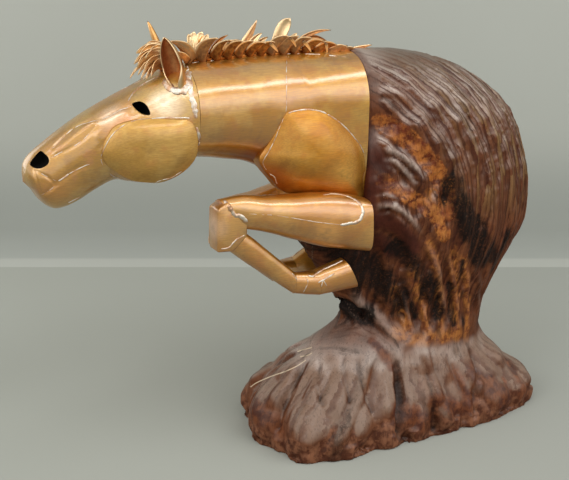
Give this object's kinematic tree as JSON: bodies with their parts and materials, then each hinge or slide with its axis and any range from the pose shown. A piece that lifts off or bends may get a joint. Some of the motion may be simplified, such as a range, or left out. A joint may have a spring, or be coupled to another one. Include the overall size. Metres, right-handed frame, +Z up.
{
  "type": "horse sculpture",
  "caption": "Copper-sheet head, neck and folded forelegs of a leaping horse, rising from a gouged, stained wooden block on a lobed base.",
  "frame": {"origin": "centre of the wooden base's underside", "axes": "+Z up; the horse faces -X; its near, pictured side is -Y"},
  "size_m": [1.1041, 0.3282, 0.8736],
  "materials": {
    "copper": "polished golden copper sheet with heat tint and a soft satin sheen",
    "dark_copper": "copper sheet leaves, brown in their hollows and bright at their edges",
    "wood": "walnut-brown stain over gouge marks, orange-brown in the hollows, satin varnish"
  },
  "bodies": {
    "root": {"carved_wood_block": "wood", "neck_drum": "copper", "chest_drum": "copper", "head": "copper", "cheek_near": "copper", "cheek_far": "copper", "shoulder_near": "copper", "shoulder_far": "copper", "ear_near": "copper", "ear_far": "copper", "forearm_near": "copper", "forearm_far": "copper", "knee_near": "copper", "knee_far": "copper", "cannon_near": "copper", "cannon_far": "copper", "fetlock_near": "copper", "fetlock_far": "copper", "hoof_near": "copper", "hoof_far": "copper", "mane": "dark_copper", "forelock": "dark_copper"}
  },
  "joints": []
}
